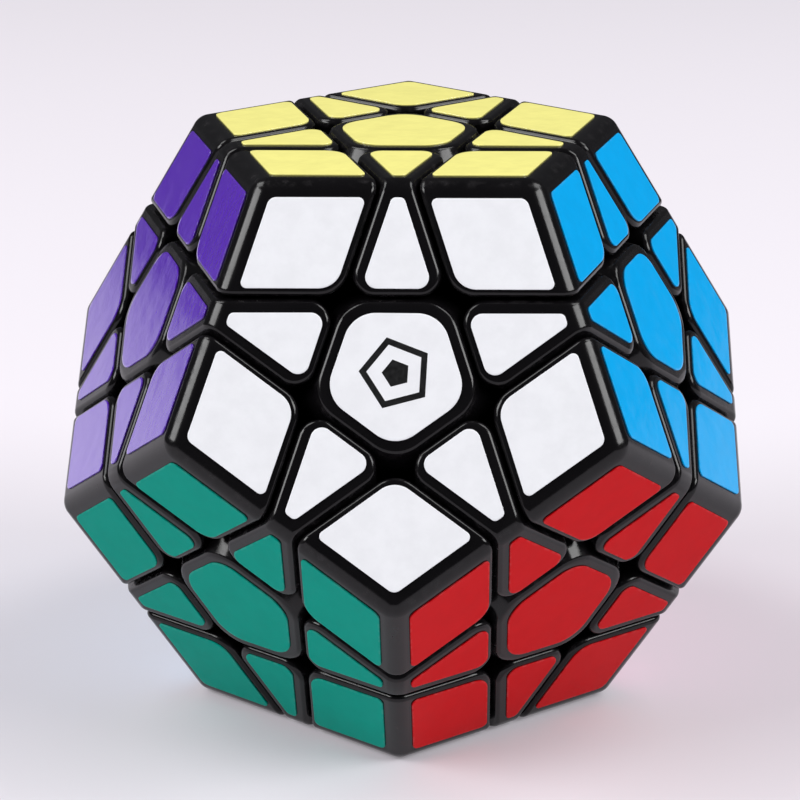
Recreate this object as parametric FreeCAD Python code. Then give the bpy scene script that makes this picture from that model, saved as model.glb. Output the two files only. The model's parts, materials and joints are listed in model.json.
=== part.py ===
import FreeCAD, Part
import math
import os

# A twelve-sided twisty puzzle, three pieces along every side: 12 centres, 30 edges and 20 corners held
# round a core ball by 12 sprung screws. Every face layer can turn about its own axis, because each cut
# is a surface of revolution about that axis: a plane near the skin, a cone below it, and a wider cone
# in the thin shell where the feet run. Millimetres, +Z up, origin at the middle of the bottom face.

os.makedirs("parts", exist_ok=True)

# ---- driving dimensions ----
across_flats = 66.0          # over the stickers, between two opposite faces
sticker_thickness = 0.1
glue_line = 0.05             # between sticker and plastic
cut_depth = 12.7             # on a face, from the side of the pentagon to the cut parallel to it
clearance = 0.15             # every cut surface stands back this far, so the gaps are twice as wide
inner_cone_angle = 42.5      # half angle of a turning layer below its cut plane
foot_cone_angle = 50.5       # half angle of the same layer in the shell where the feet run
foot_top = 20.5              # radius of the outside of the foot shell
foot_bottom = 15.05          # radius of the inside of the foot shell

centre_round = 4.5           # radii of the upright edges where four pieces meet
corner_round = 3.6
edge_round = 1.9
outside_round = 2.2          # the long sides of the dodecahedron
rim_round = 0.6              # the rim of every visible face

wall = 1.25                  # hollow shells of the edges and corners
joint_height = 3.5           # from the inner tip of a piece to the joint between shell and foot piece
joint_gap = 0.05             # between two pieces of plastic that are pushed together
spigot_length = 4.0
corner_spigot_radius = 2.3
edge_spigot_radius = 3.0
spigot_wall = 1.1

barrel_blank_radius = 16.0   # wide enough for its neighbours' cones to shape all of a centre's sides
cap_height = 2.2             # centre cap, from its joint to the face
cap_plate = 1.5
cap_skirt_depth = 1.7
cap_skirt_wall = 1.2
centre_bore_radius = 7.0
centre_floor_height = 22.3   # height of the floor of the centre's bore above the core's middle
spring_recess_depth = 0.5
spring_recess_radius = 3.1
tube_radius = 3.0
tube_end = 14.6
screw_hole_radius = 1.45

core_radius = 10.5
post_radius = 3.2
post_end = 14.3
pilot_radius = 1.3

screw_radius = 1.25          # twelve screws, each through a washer and a spring into the core
screw_length = 18.0
screw_head_radius = 2.4
screw_head_height = 1.6
screw_head_round = 0.7
screw_head_base = 28.3
screw_tip_chamfer = 0.4
cross_slot_width = 0.6
cross_slot_length = 2.6
cross_slot_depth = 1.0
washer_inner_radius = 1.4
washer_outer_radius = 2.9
washer_thickness = 0.5
part_gap = 0.1               # between spring, washer and the faces they press on
spring_coil_radius = 2.4
spring_wire_radius = 0.25
spring_turns = 4.5

sticker_side_inset = 1.80    # from the side of the dodecahedron
sticker_cut_inset = 1.27     # from a cut
sticker_tip_round = 1.0      # at a vertex of the dodecahedron
sticker_sharp_round = 0.6
sticker_corner_round = 2.5
sticker_edge_round = 1.2
sticker_centre_round = 3.4

run_past = 1.0               # how far a cutting or joining cylinder runs past the face it meets
skirt_root = 0.5             # how far the skirt of a cap is sunk into its plate

# ---- the twelve faces ----
V = FreeCAD.Vector
ORIGIN = V(0, 0, 0)
UP = V(0, 0, 1)
REACH = 60.0                 # longer than anything in the puzzle
SAME_PLACE = 0.001           # points closer than this to a plane lie on it
SHARP_ANGLE = 5.0            # degrees between two faces, above which their shared edge is sharp
RING_TILT = math.atan(0.5)   # slope of the normals of the upper and lower ring of faces
FACE_TURN = 72.0


def ring_normal(turns, tilt):
    """Outward normal of a ring face, counted in turns of 72 degrees from the front to the right."""
    a = math.radians(FACE_TURN * turns)
    return V(math.cos(tilt) * math.sin(a), -math.cos(tilt) * math.cos(a), math.sin(tilt))


FACES = {
    "white": ring_normal(0, RING_TILT),
    "yellow": V(0, 0, 1),
    "blue": ring_normal(1, RING_TILT),
    "red": ring_normal(0.5, -RING_TILT),
    "green": ring_normal(-0.5, -RING_TILT),
    "purple": ring_normal(-1, RING_TILT),
    "lime": ring_normal(2, RING_TILT),
    "orange": ring_normal(-2, RING_TILT),
    "pink": ring_normal(1.5, -RING_TILT),
    "grey": ring_normal(2.5, -RING_TILT),
    "light_blue": ring_normal(-1.5, -RING_TILT),
    "cream": V(0, 0, -1),
}
ADJACENT_ANGLE = math.atan(2)         # between the normals of two faces that share a side
TURNING_LAYERS = ("white", "lime", "cream")

skin = across_flats / 2 - sticker_thickness - glue_line
cut_height = skin - cut_depth * math.sin(ADJACENT_ANGLE)
face_inradius = skin * math.tan(ADJACENT_ANGLE / 2)


def adjacent(a, b):
    return abs(FACES[a].getAngle(FACES[b]) - ADJACENT_ANGLE) < 0.01


def neighbours(name):
    return [other for other in FACES if adjacent(name, other)]


def unit(vector):
    result = V(vector)
    result.normalize()
    return result


def in_face(normal, toward):
    """Unit direction lying in one face and pointing at the side shared with another."""
    return unit(toward - normal * normal.dot(toward))


# ---- solids that the pieces are cut from ----
def beyond(normal, distance):
    """Everything farther than distance from the middle, along normal."""
    box = Part.makeBox(4 * REACH, 4 * REACH, 2 * REACH, V(-2 * REACH, -2 * REACH, distance))
    box.Placement = FreeCAD.Placement(ORIGIN, FreeCAD.Rotation(UP, normal))
    return box


def cylinder(radius, start, end, axis=UP):
    return Part.makeCylinder(radius, end - start, axis * start, axis)


def on_circle(radius, angle):
    return V(radius * math.sin(angle), 0, radius * math.cos(angle))


def layer_cone(normal, grow):
    """The stepped cone that turns with one face, its skin moved outwards by grow."""
    inner = math.radians(inner_cone_angle)
    foot = math.radians(foot_cone_angle)

    def on_cone(angle, radius):
        along = math.sqrt(radius * radius - grow * grow)
        return V(grow * math.cos(angle) + along * math.sin(angle), 0,
                 along * math.cos(angle) - grow * math.sin(angle))

    def angle_of(point):
        return math.atan2(point.x, point.z)

    top = foot_top + grow
    bottom = foot_bottom - grow
    high = on_cone(inner, REACH)
    ledge_in = on_cone(inner, top)
    ledge_out = on_cone(foot, top)
    toe = on_cone(foot, bottom)
    ledge_middle = on_circle(top, (angle_of(ledge_in) + angle_of(ledge_out)) / 2)
    sole_middle = on_circle(bottom, angle_of(toe) / 2)
    edges = [
        Part.makeLine(V(0, 0, high.z), high),
        Part.makeLine(high, ledge_in),
        Part.Arc(ledge_in, ledge_middle, ledge_out).toShape(),
        Part.makeLine(ledge_out, toe),
        Part.Arc(toe, sole_middle, V(0, 0, bottom)).toShape(),
        Part.makeLine(V(0, 0, bottom), V(0, 0, high.z)),
    ]
    cone = Part.Face(Part.Wire(edges)).revolve(ORIGIN, UP, 360)
    cone.Placement = FreeCAD.Placement(ORIGIN, FreeCAD.Rotation(UP, normal))
    return cone


def common_of(shapes):
    result = shapes[0]
    for shape in shapes[1:]:
        result = result.common(shape)
    return result


def cut_all(shape, tools):
    for tool in tools:
        shape = shape.cut(tool)
    return shape


def sharp_edges(shape, keep):
    """Edges whose two faces meet at an angle, out of those that keep() accepts at their middle."""
    found = []
    for edge in shape.Edges:
        if edge.Degenerated:
            continue
        middle = edge.valueAt((edge.FirstParameter + edge.LastParameter) / 2)
        sides = shape.ancestorsOfType(edge, Part.Face)
        if len(sides) != 2 or not keep(middle):
            continue
        normals = [side.normalAt(*side.Surface.parameter(middle)) for side in sides]
        if math.degrees(normals[0].getAngle(normals[1])) > SHARP_ANGLE:
            found.append(edge)
    return found


def on_plane(point, normal, distance):
    return abs(point.dot(normal) - distance) < SAME_PLACE


def rounded_block(inside, outside, upright_round):
    """The outer block of a piece that lies inside some cuts and outside others, with its rounded edges."""
    low = cut_height + clearance
    side = cut_height - clearance
    whole = Part.makeBox(2 * REACH, 2 * REACH, 2 * REACH, V(-REACH, -REACH, -REACH))
    block = common_of([whole] + [beyond(n, low) for n in inside])
    block = cut_all(block, [beyond(n, skin) for n in inside] + [beyond(n, side) for n in outside])

    def buried(point):
        return not any(on_plane(point, n, skin) for n in inside)

    def upright(point):
        return buried(point) and not (len(inside) == 1 and on_plane(point, inside[0], low))

    block = block.makeFillet(upright_round, sharp_edges(block, upright))

    def outer_side(point):
        return sum(on_plane(point, n, skin) for n in inside) == 2

    if len(inside) > 1:
        block = block.makeFillet(outside_round, sharp_edges(block, outer_side))

    def rim(point):
        return max(point.dot(n) for n in inside) > (low + skin) / 2

    return block.makeFillet(rim_round, sharp_edges(block, rim))


# ---- stickers ----
def sticker(normal, bounds, rounds):
    """A flat sticker on one face. bounds lists (direction, limit) going round; the corner between
    bound i and the next has radius rounds[i]."""
    base = normal * (skin + glue_line)
    corners = []
    for i, (first, a) in enumerate(bounds):
        second, b = bounds[(i + 1) % len(bounds)]
        c = first.dot(second)
        x = (a - b * c) / (1 - c * c)
        y = (b - a * c) / (1 - c * c)
        corners.append(base + first * x + second * y)
    outline = Part.makePolygon(corners + corners[:1])
    solid = Part.Face(outline).extrude(normal * sticker_thickness)
    for radius in sorted(set(rounds), reverse=True):
        chosen = []
        for edge in solid.Edges:
            if edge.Length > 1.5 * sticker_thickness:
                continue
            middle = edge.CenterOfMass
            for corner, wanted in zip(corners, rounds):
                if wanted == radius and (middle - corner).Length < sticker_thickness:
                    chosen.append(edge)
        solid = solid.makeFillet(radius, chosen)
    return solid


def going_round(normal, others):
    """The same faces in the order met when going round normal."""
    start = in_face(normal, others[0])
    side = normal.cross(start)

    def angle(other):
        d = in_face(normal, other)
        return math.atan2(d.dot(side), d.dot(start)) % (2 * math.pi)

    return sorted(others, key=angle)


cut_line = face_inradius - cut_depth
outer_limit = face_inradius - sticker_side_inset
within_cut = cut_line - sticker_cut_inset
past_cut = cut_line + sticker_cut_inset


def corner_sticker(normal, first, second):
    u = in_face(normal, first)
    v = in_face(normal, second)
    bounds = [(u, outer_limit), (v, outer_limit), (u * -1, -past_cut), (v * -1, -past_cut)]
    plain = sticker_sharp_round
    return sticker(normal, bounds, [sticker_tip_round, plain, sticker_corner_round, plain])


def edge_sticker(normal, partner, ends):
    u = in_face(normal, partner)
    first = in_face(normal, ends[0])
    second = in_face(normal, ends[1])
    bounds = [(u, outer_limit), (first, within_cut), (u * -1, -past_cut), (second, within_cut)]
    plain = sticker_sharp_round
    inner = sticker_edge_round
    return sticker(normal, bounds, [plain, inner, inner, plain])


def centre_sticker(normal, around):
    bounds = [(in_face(normal, n), within_cut) for n in going_round(normal, around)]
    return sticker(normal, bounds, [sticker_centre_round] * len(bounds))


# ---- the three kinds of coloured piece ----
def shell_and_foot(inside, outside, block, spigot_radius):
    """A hollow outer shell and the foot piece whose spigot is pushed into it."""
    axis = unit(sum(inside, ORIGIN))
    tip = cut_height / inside[0].dot(axis)
    joint = tip + joint_height
    above = beyond(axis, joint + joint_gap / 2)
    trims = [layer_cone(n, clearance) for n in outside]
    block = cut_all(block, trims)

    hollow = common_of([beyond(n, cut_height + clearance + wall) for n in inside])
    hollow = cut_all(hollow, [beyond(n, skin - wall) for n in inside])
    hollow = cut_all(hollow, [beyond(n, cut_height - clearance - wall) for n in outside])
    hollow = hollow.common(beyond(axis, joint + wall))
    socket = cylinder(spigot_radius + joint_gap, joint, joint + wall + run_past, axis)
    shell = block.common(above).cut(hollow).cut(socket)

    below = beyond(axis * -1, -(joint - joint_gap / 2))
    stem = common_of([layer_cone(n, -clearance) for n in inside] + [below])
    stem = cut_all(stem, trims + [beyond(n, cut_height - clearance) for n in outside])
    spigot = cylinder(spigot_radius, joint - run_past, joint + spigot_length, axis)
    bore = cylinder(spigot_radius - spigot_wall, joint - wall, joint + spigot_length + run_past, axis)
    foot = stem.fuse([block.common(below), spigot]).cut(bore)
    if outside:
        pocket = common_of([layer_cone(n, -clearance - wall) for n in inside])
        pocket = pocket.common(beyond(axis * -1, wall - joint))
        foot = foot.cut(cut_all(pocket, [layer_cone(n, clearance + wall) for n in outside]))
    return [shell, foot.removeSplitter()]


def make_corner(names):
    inside = [FACES[n] for n in names]
    block = rounded_block(inside, [], corner_round)
    solids = shell_and_foot(inside, [], block, corner_spigot_radius)
    for i, normal in enumerate(inside):
        solids.append(corner_sticker(normal, inside[i - 1], inside[i - 2]))
    return solids


def make_edge(names):
    inside = [FACES[n] for n in names]
    outside = [FACES[n] for n in FACES if adjacent(n, names[0]) and adjacent(n, names[1])]
    block = rounded_block(inside, outside, edge_round)
    solids = shell_and_foot(inside, outside, block, edge_spigot_radius)
    solids.append(edge_sticker(inside[0], inside[1], outside))
    solids.append(edge_sticker(inside[1], inside[0], outside))
    return solids


def make_centre(name):
    """Base with its bore for screw and spring, and the cap pushed into it."""
    normal = FACES[name]
    around = [FACES[n] for n in neighbours(name)]
    block = rounded_block([normal], around, centre_round)
    barrel = cylinder(barrel_blank_radius, 0, cut_height + run_past, normal)
    barrel = barrel.cut(Part.makeSphere(foot_top + clearance))
    body = block.fuse(barrel)
    body = cut_all(body, [layer_cone(n, clearance) for n in around])
    body = body.fuse(cylinder(tube_radius, tube_end, foot_top + run_past, normal)).removeSplitter()

    joint = skin - cap_height
    cap = body.common(beyond(normal, joint + joint_gap / 2))
    skirt_radius = centre_bore_radius - joint_gap
    skirt = cylinder(skirt_radius, joint - cap_skirt_depth, joint + skirt_root, normal)
    hollow = cylinder(skirt_radius - cap_skirt_wall, joint - cap_skirt_depth, skin - cap_plate, normal)
    cap = cap.fuse(skirt).cut(hollow)

    base = body.common(beyond(normal * -1, -(joint - joint_gap / 2)))
    recess = centre_floor_height - spring_recess_depth
    base = cut_all(base, [
        cylinder(centre_bore_radius, centre_floor_height, skin, normal),
        cylinder(spring_recess_radius, recess, skin, normal),
        cylinder(screw_hole_radius, 0, skin, normal),
    ])
    return [base, cap, centre_sticker(normal, around)]


# ---- core and fastenings ----
def make_core():
    posts = [cylinder(post_radius, 0, post_end, n) for n in FACES.values()]
    ball = Part.makeSphere(core_radius).fuse(posts)
    tip = screw_head_base - screw_length
    holes = [cylinder(pilot_radius, tip - run_past, post_end + run_past, n) for n in FACES.values()]
    return ball.cut(holes).removeSplitter()


def make_screw():
    head = cylinder(screw_head_radius, screw_head_base, screw_head_base + screw_head_height)
    top = [e for e in head.Edges if on_plane(e.CenterOfMass, UP, screw_head_base + screw_head_height)]
    head = head.makeFillet(screw_head_round, top)
    shank = cylinder(screw_radius, screw_head_base - screw_length, screw_head_base)
    end = [e for e in shank.Edges if on_plane(e.CenterOfMass, UP, screw_head_base - screw_length)]
    shank = shank.makeChamfer(screw_tip_chamfer, end)
    screw = head.fuse(shank)
    slot_base = screw_head_base + screw_head_height - cross_slot_depth
    for quarter in (0, 90):
        slot = Part.makeBox(cross_slot_length, cross_slot_width, 2 * cross_slot_depth,
                            V(-cross_slot_length / 2, -cross_slot_width / 2, slot_base))
        slot.rotate(ORIGIN, UP, quarter)
        screw = screw.cut(slot)
    return screw.removeSplitter()


def make_washer():
    low = screw_head_base - part_gap - washer_thickness
    ring = cylinder(washer_outer_radius, low, low + washer_thickness)
    return ring.cut(cylinder(washer_inner_radius, low - run_past, low + washer_thickness + run_past))


def make_spring():
    recess = centre_floor_height - spring_recess_depth
    start = recess + part_gap + spring_wire_radius
    end = screw_head_base - 2 * part_gap - washer_thickness - spring_wire_radius
    helix = Part.makeLongHelix((end - start) / spring_turns, end - start, spring_coil_radius)
    wire = Part.Wire(helix.Edges)
    circle = Part.makeCircle(spring_wire_radius, V(spring_coil_radius, 0, 0), V(0, 1, 0))
    coil = wire.makePipeShell([Part.Wire([circle])], True, True)
    coil.translate(UP * start)
    return coil


# ---- placing copies ----
def frame_of(normals):
    """Rotation matrix whose columns are built from two face normals."""
    x = unit(normals[0])
    z = unit(normals[0].cross(normals[1]))
    y = z.cross(x)
    return FreeCAD.Matrix(x.x, y.x, z.x, 0, x.y, y.y, z.y, 0, x.z, y.z, z.z, 0, 0, 0, 0, 1)


def moved(solids, source, target):
    """Copies of solids, turned so that the two source normals land on the two target normals and
    lifted so that the puzzle stands on its bottom face."""
    turn = frame_of(target) * frame_of(source).inverse()
    copies = []
    for solid in solids:
        copy = solid.copy()
        place = FreeCAD.Placement(turn)
        place.Base = UP * (across_flats / 2)
        copy.Placement = place.multiply(copy.Placement)
        copies.append(copy)
    return copies


def save(name, solids):
    Part.makeCompound(solids).exportStep("parts/" + name + ".step")


def right_handed(names):
    """The three faces of a corner in the order that runs anticlockwise seen from outside."""
    a, b, c = (FACES[n] for n in names)
    return names if a.cross(b).dot(c) > 0 else (names[0], names[2], names[1])


names = list(FACES)
edge_names = [(a, b) for i, a in enumerate(names) for b in names[i + 1:] if adjacent(a, b)]
corner_names = [(a, b, c) for a, b in edge_names for c in names[names.index(b) + 1:]
                if adjacent(a, c) and adjacent(b, c)]

edge_master = edge_names[0]
edge_solids = make_edge(edge_master)
for pair in edge_names:
    placed = moved(edge_solids, [FACES[n] for n in edge_master], [FACES[n] for n in pair])
    save("edge_" + "_".join(pair), placed)

corner_master = right_handed(corner_names[0])
corner_solids = make_corner(corner_master)
for trio in corner_names:
    placed = moved(corner_solids, [FACES[n] for n in corner_master], [FACES[n] for n in right_handed(trio)])
    save("corner_" + "_".join(trio), placed)

centre_master = "yellow"
centre_solids = make_centre(centre_master)
bases = []
caps = []
screws = []
washers = []
springs = []
fastenings = [make_screw(), make_washer(), make_spring()]
for name in names:
    source = [FACES[centre_master], FACES[neighbours(centre_master)[0]]]
    target = [FACES[name], FACES[neighbours(name)[0]]]
    base, cap, label = moved(centre_solids, source, target)
    if name in TURNING_LAYERS:
        save("centre_" + name, [base, cap, label])
    else:
        bases.append(base)
        caps += [cap, label]
    screw, washer, spring = moved(fastenings, source, target)
    screws.append(screw)
    washers.append(washer)
    springs.append(spring)
save("centre_bases", bases)
save("centre_caps", caps)
save("tension_screws", screws)
save("screw_washers", washers)
save("tension_springs", springs)
upright = [FACES["yellow"], FACES["white"]]
save("core_ball", moved([make_core()], upright, upright))
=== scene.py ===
import json
import math
import random

import bmesh
import bpy
from mathutils import Matrix, Vector

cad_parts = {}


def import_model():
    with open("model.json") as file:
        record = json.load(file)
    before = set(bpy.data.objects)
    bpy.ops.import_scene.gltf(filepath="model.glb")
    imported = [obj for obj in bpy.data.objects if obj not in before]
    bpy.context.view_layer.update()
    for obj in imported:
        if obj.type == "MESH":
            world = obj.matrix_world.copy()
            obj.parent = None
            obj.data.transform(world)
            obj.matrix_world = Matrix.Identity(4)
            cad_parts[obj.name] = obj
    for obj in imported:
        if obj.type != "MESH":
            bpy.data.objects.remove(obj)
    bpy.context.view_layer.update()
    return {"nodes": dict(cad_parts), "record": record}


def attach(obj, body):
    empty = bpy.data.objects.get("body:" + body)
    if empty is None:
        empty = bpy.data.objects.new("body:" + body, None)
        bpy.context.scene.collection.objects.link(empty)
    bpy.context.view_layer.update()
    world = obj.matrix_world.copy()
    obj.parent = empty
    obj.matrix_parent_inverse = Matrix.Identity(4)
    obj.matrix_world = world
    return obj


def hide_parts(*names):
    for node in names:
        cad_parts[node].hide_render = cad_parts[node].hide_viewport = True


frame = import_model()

bodies = frame["record"]["behaviour"]["bodies"]
body_of_node = {node: body for body, nodes in bodies.items() for node in nodes}
rng = random.Random(12)

# ---- sizes, in metres ----
MM = 0.001
MIDDLE = Vector((0, 0, 33 * MM))        # middle of the puzzle
SKIN = 32.85 * MM                       # from the middle to the plastic of a face
GLUE = 0.05 * MM
STICKER_TOP = 33.0 * MM
CUT_DEPTH = 12.7 * MM
SIDE_INSET = 1.80 * MM                  # from a sticker to the side of the dodecahedron
CUT_INSET = 1.27 * MM                   # from a sticker to a cut
TIP_ROUND = 1.0 * MM                    # at a vertex of the dodecahedron
SHARP_ROUND = 0.6 * MM
CORNER_ROUND = 2.5 * MM
EDGE_ROUND = 1.2 * MM
CENTRE_ROUND = 3.4 * MM
STICKER_ROLL = 0.03 * MM                # soft rim of a cut sticker
RIM_BAND = 0.25 * MM                    # band inside the rim where a sticker is a little worn
ROUND_STEPS = 14                        # pieces of each rounded corner
LEAST_ROUND = 0.05 * MM
SLIP = 0.05 * MM                        # how far a hand-placed sticker may sit off its place
TWIST = math.radians(0.35)
MARK_OUTER = 3.9 * MM                   # printed mark on the white centre
MARK_INNER = 3.1 * MM
MARK_DOT = 1.5 * MM
MARK_TURN = math.radians(-15)
MARK_SIDES = 5
INK_DEPTH = 0.004 * MM
COIL_RADIUS = 2.4 * MM
COIL_WIRE = 0.25 * MM
COIL_TURNS = 4.5
COIL_LOW = 22.15 * MM                   # height of the wire's middle above the core's middle
COIL_HIGH = 27.35 * MM
COIL_STEPS = 100
COIL_SIDES = 8
WELD = 0.0005 * MM                      # points this close are joined
PLASTIC_CREASE = math.radians(38)       # edges bent more than this stay sharp
STICKER_CREASE = math.radians(50)
FLAT_WEIGHT = 100                       # how strongly large faces hold the shading flat
FLOOR_RADIUS = 1.25                     # floor, a round sheet
FLOOR_SIDES = 96
FLOOR_DROP = 0.02 * MM                  # keeps the floor just clear of the bottom stickers
FLOOR_GLOW = 0.20                       # strength of the paper's own faint light
SENSOR_WIDTH = 36                       # of the camera, in millimetres

RING_TILT = math.atan(0.5)
ADJACENT_ANGLE = math.atan(2)


def ring_normal(turns, tilt):
    a = math.radians(72 * turns)
    return Vector((math.cos(tilt) * math.sin(a), -math.cos(tilt) * math.cos(a), math.sin(tilt)))


FACES = {
    "white": ring_normal(0, RING_TILT),
    "yellow": Vector((0, 0, 1)),
    "blue": ring_normal(1, RING_TILT),
    "red": ring_normal(0.5, -RING_TILT),
    "green": ring_normal(-0.5, -RING_TILT),
    "purple": ring_normal(-1, RING_TILT),
    "lime": ring_normal(2, RING_TILT),
    "orange": ring_normal(-2, RING_TILT),
    "pink": ring_normal(1.5, -RING_TILT),
    "grey": ring_normal(2.5, -RING_TILT),
    "light_blue": ring_normal(-1.5, -RING_TILT),
    "cream": Vector((0, 0, -1)),
}

# linear colours
VINYL = {
    "white": (0.81, 0.82, 0.85),
    "yellow": (0.94, 0.88, 0.27),
    "blue": (0.0, 0.335, 0.72),
    "red": (0.56, 0.005, 0.008),
    "green": (0.0, 0.295, 0.222),
    "purple": (0.088, 0.010, 0.44),
    "lime": (0.25, 0.62, 0.03),
    "orange": (0.86, 0.20, 0.01),
    "pink": (0.86, 0.20, 0.42),
    "grey": (0.24, 0.25, 0.27),
    "light_blue": (0.25, 0.62, 0.84),
    "cream": (0.82, 0.74, 0.52),
}

# how glossy each vinyl is: level of its own shine, weight of its clear coat
SHINE = {
    "white": (0.5, 0.5),
    "yellow": (0.5, 0.5),
    "blue": (0.06, 0.15),
    "red": (0.05, 0.0),
    "green": (0.03, 0.0),
    "purple": (0.5, 1.0),
}
USUAL_SHINE = (0.4, 0.3)


def adjacent(a, b):
    return abs(FACES[a].angle(FACES[b]) - ADJACENT_ANGLE) < 0.01


def in_face(normal, toward):
    """The direction within a face that leads toward another direction."""
    return (toward - normal * normal.dot(toward)).normalized()


# ---- material helpers ----
class Graph:
    """A small wrapper for building one material's nodes."""

    def __init__(self, name):
        self.material = bpy.data.materials.new(name)
        self.material.use_nodes = True
        self.tree = self.material.node_tree
        self.shader = self.tree.nodes["Principled BSDF"]

    def add(self, kind, links=None, **values):
        node = self.tree.nodes.new(kind)
        for key, value in values.items():
            setattr(node, key, value)
        for socket, source in (links or {}).items():
            self.feed(node.inputs[socket], source)
        return node

    def feed(self, socket, source):
        if isinstance(source, bpy.types.NodeSocket):
            self.tree.links.new(source, socket)
        else:
            socket.default_value = source

    def math(self, operation, a, b=0.0, clamp=False):
        node = self.add("ShaderNodeMath", operation=operation, use_clamp=clamp)
        self.feed(node.inputs[0], a)
        self.feed(node.inputs[1], b)
        return node.outputs[0]

    def spread(self, value, low, high, to_low=0.0, to_high=1.0):
        node = self.add("ShaderNodeMapRange", {"Value": value, "From Min": low, "From Max": high,
                                               "To Min": to_low, "To Max": to_high})
        node.interpolation_type = "SMOOTHSTEP"
        return node.outputs["Result"]

    def noise(self, where, size, detail=3.0, roughness=0.5):
        """Noise whose blotches are about size metres across."""
        node = self.add("ShaderNodeTexNoise", {"Vector": where, "Scale": 1 / size, "Detail": detail,
                                               "Roughness": roughness})
        return node.outputs["Fac"]

    def mix(self, factor, a, b):
        node = self.add("ShaderNodeMix", data_type="RGBA")
        self.feed(node.inputs["Factor"], factor)
        self.feed(node.inputs[6], a)
        self.feed(node.inputs[7], b)
        return node.outputs[2]

    def bump(self, height, distance, strength, under=None):
        links = {"Height": height, "Distance": distance, "Strength": strength}
        if under is not None:
            links["Normal"] = under
        return self.add("ShaderNodeBump", links).outputs["Normal"]


def black_plastic():
    """Injection moulded black plastic: faint flow marks, fine grain, rims polished by hands."""
    g = Graph("black_plastic")
    here = g.add("ShaderNodeTexCoord").outputs["Object"]
    out = g.add("ShaderNodeVectorMath", {0: here, 1: MIDDLE}, operation="SUBTRACT").outputs[0]
    height = 0.0
    # six faces do, because each stands for the opposite one too
    for name in ("white", "yellow", "blue", "red", "green", "purple"):
        node = g.add("ShaderNodeVectorMath", {0: out, 1: FACES[name]}, operation="DOT_PRODUCT")
        height = g.math("MAXIMUM", g.math("ABSOLUTE", node.outputs["Value"]), height)
    depth = g.math("SUBTRACT", SKIN, height)
    rim = g.math("MULTIPLY", g.spread(depth, 0.02 * MM, 0.25 * MM),
                 g.spread(depth, 0.5 * MM, 1.2 * MM, 1.0, 0.0))
    scuffs = g.spread(g.noise(here, 1.3 * MM, 5, 0.65), 0.45, 0.72)
    worn = g.math("MULTIPLY", rim, scuffs)
    flow = g.noise(here, 7 * MM, 2)
    grain = g.noise(here, 0.22 * MM, 2)
    base = g.mix(flow, (0.0022, 0.0020, 0.0024, 1), (0.0042, 0.0038, 0.0044, 1))
    g.feed(g.shader.inputs["Base Color"], g.mix(worn, base, (0.012, 0.011, 0.012, 1)))
    rough = g.math("ADD", g.spread(flow, 0.3, 0.7, 0.13, 0.19), g.math("MULTIPLY", worn, 0.14))
    g.feed(g.shader.inputs["Roughness"], rough)
    soft = g.bump(g.noise(here, 3.2 * MM, 2), 0.05 * MM, 0.25)
    g.feed(g.shader.inputs["Normal"], g.bump(grain, 0.01 * MM, 0.25, soft))
    g.shader.inputs["IOR"].default_value = 1.5
    g.shader.inputs["Specular IOR Level"].default_value = 0.28
    return g.material


def vinyl(name, colour):
    """Glossy self-adhesive vinyl: slight orange peel, faint print mottle, a lighter worn rim."""
    g = Graph("vinyl_" + name)
    here = g.add("ShaderNodeTexCoord").outputs["Object"]
    rim = g.add("ShaderNodeAttribute", attribute_name="rim").outputs["Fac"]
    shade = [c * 0.965 for c in colour] + [1]
    tone = [min(1, c * 1.015) for c in colour] + [1]
    pale = [min(1, c * 0.9 + 0.06) for c in colour] + [1]
    mottle = g.noise(here, 2.4 * MM, 4, 0.6)
    base = g.mix(g.spread(mottle, 0.3, 0.7), shade, tone)
    wear = g.math("MULTIPLY", rim, g.spread(g.noise(here, 0.8 * MM, 3), 0.42, 0.62))
    g.feed(g.shader.inputs["Base Color"], g.mix(g.math("MULTIPLY", wear, 0.5), base, pale))
    g.feed(g.shader.inputs["Roughness"], g.spread(g.noise(here, 1.5 * MM, 4), 0.3, 0.7, 0.11, 0.18))
    waves = g.bump(g.noise(here, 3.0 * MM, 3, 0.45), 0.08 * MM, 0.8)
    peel = g.bump(g.noise(here, 0.9 * MM, 2), 0.02 * MM, 0.22, waves)
    g.feed(g.shader.inputs["Normal"], g.bump(g.noise(here, 0.15 * MM, 1), 0.004 * MM, 0.12, peel))
    level, coat = SHINE.get(name, USUAL_SHINE)
    g.shader.inputs["IOR"].default_value = 1.46
    g.shader.inputs["Specular IOR Level"].default_value = level
    g.shader.inputs["Coat Weight"].default_value = coat
    g.shader.inputs["Coat Roughness"].default_value = 0.06
    return g.material


def metal(name, tint, low, high):
    """Plated steel, a little cloudy, with roughness between low and high."""
    g = Graph(name)
    here = g.add("ShaderNodeTexCoord").outputs["Object"]
    cloud = g.noise(here, 1.5 * MM, 4)
    dark = [c * 0.75 for c in tint] + [1]
    g.feed(g.shader.inputs["Base Color"], g.mix(cloud, dark, list(tint) + [1]))
    g.feed(g.shader.inputs["Roughness"], g.spread(cloud, 0.3, 0.7, low, high))
    g.feed(g.shader.inputs["Normal"], g.bump(g.noise(here, 0.2 * MM, 2), 0.01 * MM, 0.3))
    g.shader.inputs["Metallic"].default_value = 1.0
    return g.material


def core_plastic():
    """Satin white nylon."""
    g = Graph("core_nylon")
    here = g.add("ShaderNodeTexCoord").outputs["Object"]
    cloud = g.noise(here, 4 * MM, 3)
    g.feed(g.shader.inputs["Base Color"], g.mix(cloud, (0.62, 0.61, 0.57, 1), (0.76, 0.75, 0.71, 1)))
    g.feed(g.shader.inputs["Roughness"], g.spread(cloud, 0.3, 0.7, 0.40, 0.55))
    g.feed(g.shader.inputs["Normal"], g.bump(g.noise(here, 0.3 * MM, 2), 0.01 * MM, 0.3))
    return g.material


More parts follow.
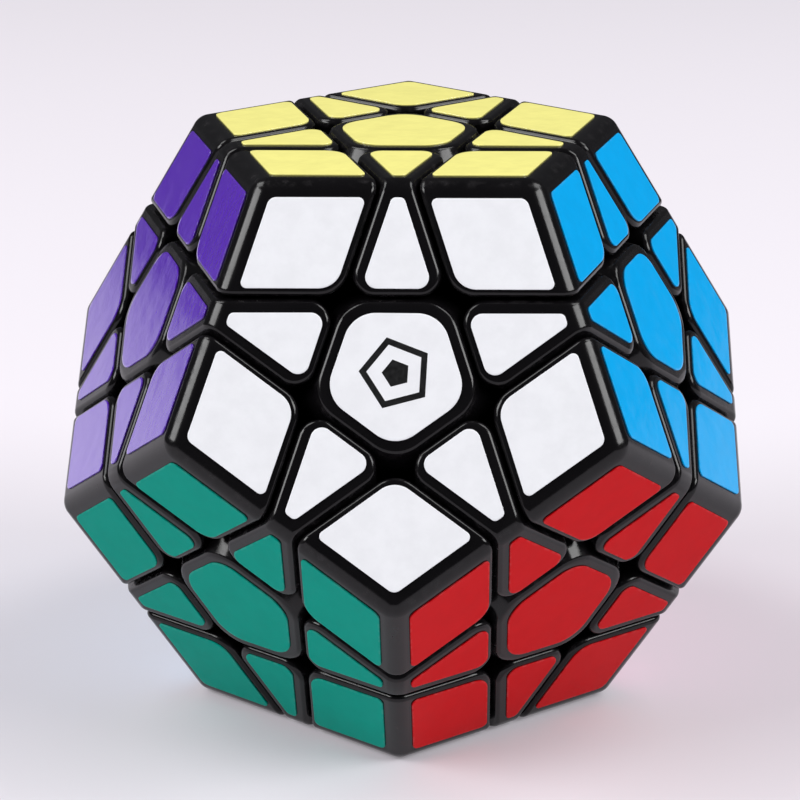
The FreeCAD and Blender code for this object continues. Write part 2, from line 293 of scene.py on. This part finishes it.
def ink():
    """Matt black printing ink."""
    g = Graph("printed_ink")
    here = g.add("ShaderNodeTexCoord").outputs["Object"]
    cloud = g.noise(here, 0.4 * MM, 3)
    g.feed(g.shader.inputs["Base Color"], g.mix(cloud, (0.003, 0.003, 0.003, 1), (0.008, 0.008, 0.009, 1)))
    g.feed(g.shader.inputs["Roughness"], g.spread(cloud, 0.3, 0.7, 0.30, 0.42))
    g.feed(g.shader.inputs["Normal"], g.bump(cloud, 0.004 * MM, 0.3))
    return g.material


BLACK = black_plastic()
VINYLS = {name: vinyl(name, colour) for name, colour in VINYL.items()}
STEEL = metal("zinc_steel", (0.60, 0.61, 0.63), 0.22, 0.38)
SPRING_STEEL = metal("spring_steel", (0.42, 0.42, 0.43), 0.28, 0.42)
NYLON = core_plastic()
INK = ink()


# ---- plastic pieces ----
def add_piece(mesh, name, material, body):
    piece = bpy.data.objects.new(name, mesh)
    bpy.context.scene.collection.objects.link(piece)
    mesh.materials.clear()
    mesh.materials.append(material)
    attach(piece, body)
    return piece


def keep_flat(piece):
    """Lets the shading bend only at the rounded rims."""
    even = piece.modifiers.new("flat faces stay flat", "WEIGHTED_NORMAL")
    even.keep_sharp = True
    even.weight = FLAT_WEIGHT


def moulded(node, name, keep):
    """A piece of the same shape as the solids of a CAD node that keep() accepts, welded and smooth-shaded."""
    bm = bmesh.new()
    bm.from_mesh(frame["nodes"][node].data)
    bmesh.ops.delete(bm, geom=[v for v in bm.verts if not keep(v.co - MIDDLE)], context="VERTS")
    bmesh.ops.remove_doubles(bm, verts=bm.verts, dist=WELD)
    bmesh.ops.dissolve_degenerate(bm, edges=bm.edges, dist=WELD)
    for face in bm.faces:
        face.smooth = True
    for edge in bm.edges:
        edge.smooth = len(edge.link_faces) == 2 and edge.calc_face_angle(0) < PLASTIC_CREASE
    mesh = bpy.data.meshes.new(name)
    bm.to_mesh(mesh)
    bm.free()
    piece = add_piece(mesh, name, BLACK, body_of_node[node])
    keep_flat(piece)
    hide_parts(node)
    return piece


def below_glue(point):
    """True in the plastic of a piece and false in its stickers."""
    return max(point.dot(n) for n in FACES.values()) < SKIN + GLUE / 2


def nearest_face(point):
    return max(FACES, key=lambda name: point.dot(FACES[name]))


# ---- stickers ----
FACE_INRADIUS = SKIN * math.tan(ADJACENT_ANGLE / 2)
CUT_LINE = FACE_INRADIUS - CUT_DEPTH
OUTER_LIMIT = FACE_INRADIUS - SIDE_INSET
WITHIN_CUT = CUT_LINE - CUT_INSET
PAST_CUT = CUT_LINE + CUT_INSET


def meet(first, a, second, b):
    """The point of a face that is at a along first and b along second."""
    c = first.dot(second)
    return (first * (a - b * c) + second * (b - a * c)) / (1 - c * c)


def outline(bounds, rounds, inset):
    """Points of a rounded polygon given by lines (direction, limit) and one radius for each corner."""
    lines = [(u, a - inset) for u, a in bounds]
    points = []
    count = len(lines)
    corners = [meet(*lines[i], *lines[(i + 1) % count]) for i in range(count)]
    for i, corner in enumerate(corners):
        before = (corners[i - 1] - corner).normalized()
        after = (corners[(i + 1) % count] - corner).normalized()
        half = before.angle(after) / 2
        radius = max(rounds[i] - inset, LEAST_ROUND)
        centre = corner + (before + after).normalized() * radius / math.sin(half)
        start = corner + before * radius / math.tan(half) - centre
        end = corner + after * radius / math.tan(half) - centre
        for k in range(ROUND_STEPS + 1):
            points.append(centre + start.slerp(end, k / ROUND_STEPS) * start.length)
    return points


def sticker(face, partner_piece, body, bounds, rounds):
    """One cut piece of vinyl with a rolled rim, set down by hand."""
    normal = FACES[face]
    middle = sum((meet(*bounds[i], *bounds[(i + 1) % len(bounds)]) for i in range(len(bounds))),
                 Vector()) / len(bounds)
    side = in_face(normal, FACES["white"] if face not in ("white", "grey") else FACES["yellow"])
    slip = side * rng.uniform(-SLIP, SLIP) + normal.cross(side) * rng.uniform(-SLIP, SLIP)
    twist = Matrix.Rotation(rng.uniform(-TWIST, TWIST), 3, normal)
    bm = bmesh.new()
    rim = bm.verts.layers.float.new("rim")

    def ring(inset, height, wear):
        loop = []
        for point in outline(bounds, rounds, inset):
            placed = twist @ (point - middle) + middle + slip
            vert = bm.verts.new(MIDDLE + normal * height + placed)
            vert[rim] = wear
            loop.append(vert)
        return loop

    roll = STICKER_ROLL
    loops = [
        ring(0, SKIN + GLUE / 4, 1.0),
        ring(0, STICKER_TOP - roll, 1.0),
        ring(roll * 0.3, STICKER_TOP - roll * 0.3, 1.0),
        ring(roll, STICKER_TOP, 1.0),
        ring(RIM_BAND, STICKER_TOP, 0.0),
    ]
    for low, high in zip(loops, loops[1:]):
        for i in range(len(low)):
            k = (i + 1) % len(low)
            bm.faces.new((low[i], low[k], high[k], high[i]))
    bm.faces.new(loops[-1])
    bm.faces.new(list(reversed(loops[0])))
    bmesh.ops.recalc_face_normals(bm, faces=bm.faces)
    for item in bm.faces:
        item.smooth = True
    for edge in bm.edges:
        edge.smooth = edge.calc_face_angle(0) < STICKER_CREASE
    name = "sticker_" + face + "_of_" + partner_piece
    mesh = bpy.data.meshes.new(name)
    bm.to_mesh(mesh)
    bm.free()
    piece = add_piece(mesh, name, VINYLS[face], body)
    keep_flat(piece)


def corner_stickers(piece, names, body):
    for i, face in enumerate(names):
        normal = FACES[face]
        u = in_face(normal, FACES[names[i - 1]])
        v = in_face(normal, FACES[names[i - 2]])
        bounds = [(u, OUTER_LIMIT), (v, OUTER_LIMIT), (-u, -PAST_CUT), (-v, -PAST_CUT)]
        sticker(face, piece, body, bounds, [TIP_ROUND, SHARP_ROUND, CORNER_ROUND, SHARP_ROUND])


def edge_stickers(piece, names, body):
    ends = [FACES[n] for n in FACES if adjacent(n, names[0]) and adjacent(n, names[1])]
    for face, partner in (names, names[::-1]):
        normal = FACES[face]
        u = in_face(normal, FACES[partner])
        first = in_face(normal, ends[0])
        second = in_face(normal, ends[1])
        bounds = [(u, OUTER_LIMIT), (first, WITHIN_CUT), (-u, -PAST_CUT), (second, WITHIN_CUT)]
        sticker(face, piece, body, bounds, [SHARP_ROUND, EDGE_ROUND, EDGE_ROUND, SHARP_ROUND])


def centre_sticker(piece, face, body):
    normal = FACES[face]
    around = [in_face(normal, FACES[n]) for n in FACES if adjacent(n, face)]
    start = around[0]
    side = normal.cross(start)
    around.sort(key=lambda d: math.atan2(d.dot(side), d.dot(start)) % (2 * math.pi))
    sticker(face, piece, body, [(u, WITHIN_CUT) for u in around], [CENTRE_ROUND] * 5)


# ---- springs ----
def axes_of(first, second):
    """Axes with x along one face normal and z square to both."""
    x = first.normalized()
    z = first.cross(second).normalized()
    return Matrix((x, z.cross(x), z)).transposed()


def spring_coils():
    """The twelve coil springs round the screws, as light meshes."""
    order = {face: [other for other in FACES if adjacent(face, other)] for face in FACES}
    master = axes_of(FACES["yellow"], FACES[order["yellow"][0]])
    bm = bmesh.new()
    for face in FACES:
        turn = axes_of(FACES[face], FACES[order[face][0]]) @ master.inverted()
        rings = []
        for step in range(COIL_STEPS + 1):
            part = step / COIL_STEPS
            angle = math.tau * COIL_TURNS * part
            height = COIL_LOW + (COIL_HIGH - COIL_LOW) * part
            outward = Vector((math.cos(angle), math.sin(angle), 0))
            ring = []
            for side in range(COIL_SIDES):
                around = math.tau * side / COIL_SIDES
                local = outward * (COIL_RADIUS + COIL_WIRE * math.cos(around))
                local.z = height + COIL_WIRE * math.sin(around)
                ring.append(bm.verts.new(MIDDLE + turn @ local))
            rings.append(ring)
        for low, high in zip(rings, rings[1:]):
            for i in range(COIL_SIDES):
                k = (i + 1) % COIL_SIDES
                bm.faces.new((low[i], low[k], high[k], high[i])).smooth = True
        bm.faces.new(rings[0])
        bm.faces.new(rings[-1])
    bmesh.ops.recalc_face_normals(bm, faces=bm.faces)
    mesh = bpy.data.meshes.new("spring_coils")
    bm.to_mesh(mesh)
    bm.free()
    coils = add_piece(mesh, "spring_coils", SPRING_STEEL, body_of_node["tension_springs"])
    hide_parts("tension_springs")


# ---- mark and names ----
def pentagon(radius, turn):
    """Corners of a regular pentagon on the white face, seen from outside."""
    normal = FACES["white"]
    up = in_face(normal, FACES["yellow"])
    right = up.cross(normal)
    angles = [turn + math.tau * k / MARK_SIDES for k in range(MARK_SIDES)]
    return [up * radius * math.cos(a) + right * radius * math.sin(a) for a in angles]


def printed_mark(body):
    """A plain pentagon ring round a small pentagon, printed askew on the white centre."""
    normal = FACES["white"]
    bm = bmesh.new()

    def loop(radius, height):
        return [bm.verts.new(MIDDLE + normal * height + p) for p in pentagon(radius, MARK_TURN)]

    low = STICKER_TOP - INK_DEPTH
    high = STICKER_TOP + INK_DEPTH
    rings = [loop(MARK_INNER, low), loop(MARK_OUTER, low), loop(MARK_OUTER, high), loop(MARK_INNER, high)]
    for first, second in zip(rings, rings[1:] + rings[:1]):
        for i in range(MARK_SIDES):
            k = (i + 1) % MARK_SIDES
            bm.faces.new((first[i], first[k], second[k], second[i]))
    dot_low, dot_high = loop(MARK_DOT, low), loop(MARK_DOT, high)
    for i in range(MARK_SIDES):
        k = (i + 1) % MARK_SIDES
        bm.faces.new((dot_low[i], dot_low[k], dot_high[k], dot_high[i]))
    bm.faces.new(dot_high)
    bm.faces.new(list(reversed(dot_low)))
    bmesh.ops.recalc_face_normals(bm, faces=bm.faces)
    mesh = bpy.data.meshes.new("mark_on_centre_white")
    bm.to_mesh(mesh)
    bm.free()
    add_piece(mesh, "mark_on_centre_white", INK, body)


def face_names(node):
    words = node.replace("light_blue", "light-blue").split("_")[1:]
    return [w.replace("-", "_") for w in words]


for node in sorted(frame["nodes"]):
    body = body_of_node[node]
    if node.startswith(("corner_", "edge_")):
        moulded(node, node + "_plastic", below_glue)
        maker = corner_stickers if node.startswith("corner_") else edge_stickers
        maker(node, face_names(node), body)
    elif node.startswith("centre_") and face_names(node)[0] in FACES:
        moulded(node, node + "_plastic", below_glue)
        centre_sticker(node, face_names(node)[0], body)
    elif node == "centre_caps":
        held = [f for f in FACES if "centre_" + f not in frame["nodes"]]
        for face in held:
            moulded(node, "cap_" + face + "_plastic",
                    lambda p, face=face: below_glue(p) and nearest_face(p) == face)
            centre_sticker("cap_" + face, face, body)

printed_mark(body_of_node["centre_white"])

spring_coils()

HIDDEN = {
    "centre_bases": BLACK,
    "core_ball": NYLON,
    "tension_screws": STEEL,
    "screw_washers": STEEL,
}
for node, material in HIDDEN.items():
    for slot in frame["nodes"][node].material_slots:
        slot.material = material


# ---- floor, light and camera ----
def floor_paper():
    """Pale matt paper with a faint glow, which keeps the ground even round the puzzle."""
    g = Graph("floor_paper")
    here = g.add("ShaderNodeTexCoord").outputs["Object"]
    tone = g.mix(g.noise(here, 0.3, 2), (0.575, 0.548, 0.590, 1), (0.585, 0.558, 0.600, 1))
    g.feed(g.shader.inputs["Base Color"], tone)
    g.shader.inputs["Roughness"].default_value = 0.9
    g.shader.inputs["Specular IOR Level"].default_value = 0.1
    g.shader.inputs["Emission Color"].default_value = (0.83, 0.78, 0.838, 1)
    g.shader.inputs["Emission Strength"].default_value = FLOOR_GLOW
    return g.material


def floor():
    """One flat round sheet under the puzzle."""
    bm = bmesh.new()
    angles = [math.tau * k / FLOOR_SIDES for k in range(FLOOR_SIDES)]
    bm.faces.new([bm.verts.new((FLOOR_RADIUS * math.cos(a), FLOOR_RADIUS * math.sin(a), 0))
                  for a in angles])
    mesh = bpy.data.meshes.new("floor")
    bm.to_mesh(mesh)
    bm.free()
    sheet = bpy.data.objects.new("floor", mesh)
    sheet.location = (0, 0, -FLOOR_DROP)
    mesh.materials.append(floor_paper())
    bpy.context.scene.collection.objects.link(sheet)


def softbox(name, place, width, height, power):
    """A rectangular lamp, width by height metres, aimed at the middle of the puzzle."""
    data = bpy.data.lights.new(name, "AREA")
    data.shape = "RECTANGLE"
    data.size = width
    data.size_y = height
    data.energy = power
    lamp = bpy.data.objects.new(name, data)
    lamp.location = place
    lamp.rotation_euler = (MIDDLE - Vector(place)).to_track_quat("-Z", "Y").to_euler()
    bpy.context.scene.collection.objects.link(lamp)


def world(colour, strength):
    made = bpy.data.worlds.new("studio")
    made.use_nodes = True
    background = made.node_tree.nodes["Background"]
    background.inputs["Color"].default_value = (*colour, 1)
    background.inputs["Strength"].default_value = strength
    bpy.context.scene.world = made


def camera(azimuth, elevation, roll, distance, lens, shift_x, shift_y):
    """Looks at the puzzle's middle, before the shifts slide the view by a part of the picture's width.

    Angles are in degrees, the distance is in metres and the lens in millimetres.
    """
    az = math.radians(azimuth)
    el = math.radians(elevation)
    back = Vector((math.sin(az) * math.cos(el), -math.cos(az) * math.cos(el), math.sin(el)))
    right = (-back).cross(Vector((0, 0, 1))).normalized()
    up = right.cross(-back)
    turn = math.radians(roll)
    right, up = right * math.cos(turn) + up * math.sin(turn), up * math.cos(turn) - right * math.sin(turn)
    data = bpy.data.cameras.new("camera")
    data.sensor_width = SENSOR_WIDTH
    data.lens = lens
    data.shift_x = shift_x
    data.shift_y = shift_y
    data.clip_start = 0.01
    made = bpy.data.objects.new("camera", data)
    frame_axes = Matrix((right, up, back)).transposed().to_4x4()
    made.matrix_world = Matrix.Translation(MIDDLE + back * distance) @ frame_axes
    bpy.context.scene.collection.objects.link(made)
    bpy.context.scene.camera = made


floor()
world((0.93, 0.94, 1.0), 0.08)
SIDES = {"left": -1, "right": 1}
for side, sign in SIDES.items():
    softbox(side + "_box", (sign * 0.90, -0.32, 0.70), 0.72, 0.45, 9.8)
for side, sign in SIDES.items():
    softbox("top_" + side + "_box", (sign * 0.46, 0.12, 0.75), 0.4, 0.4, 2.8)
camera(azimuth=1.654, elevation=20.566, roll=-0.219, distance=0.31055, lens=120.518244,
       shift_x=-0.00555, shift_y=0.0083125)
bpy.context.scene.view_settings.view_transform = "Standard"
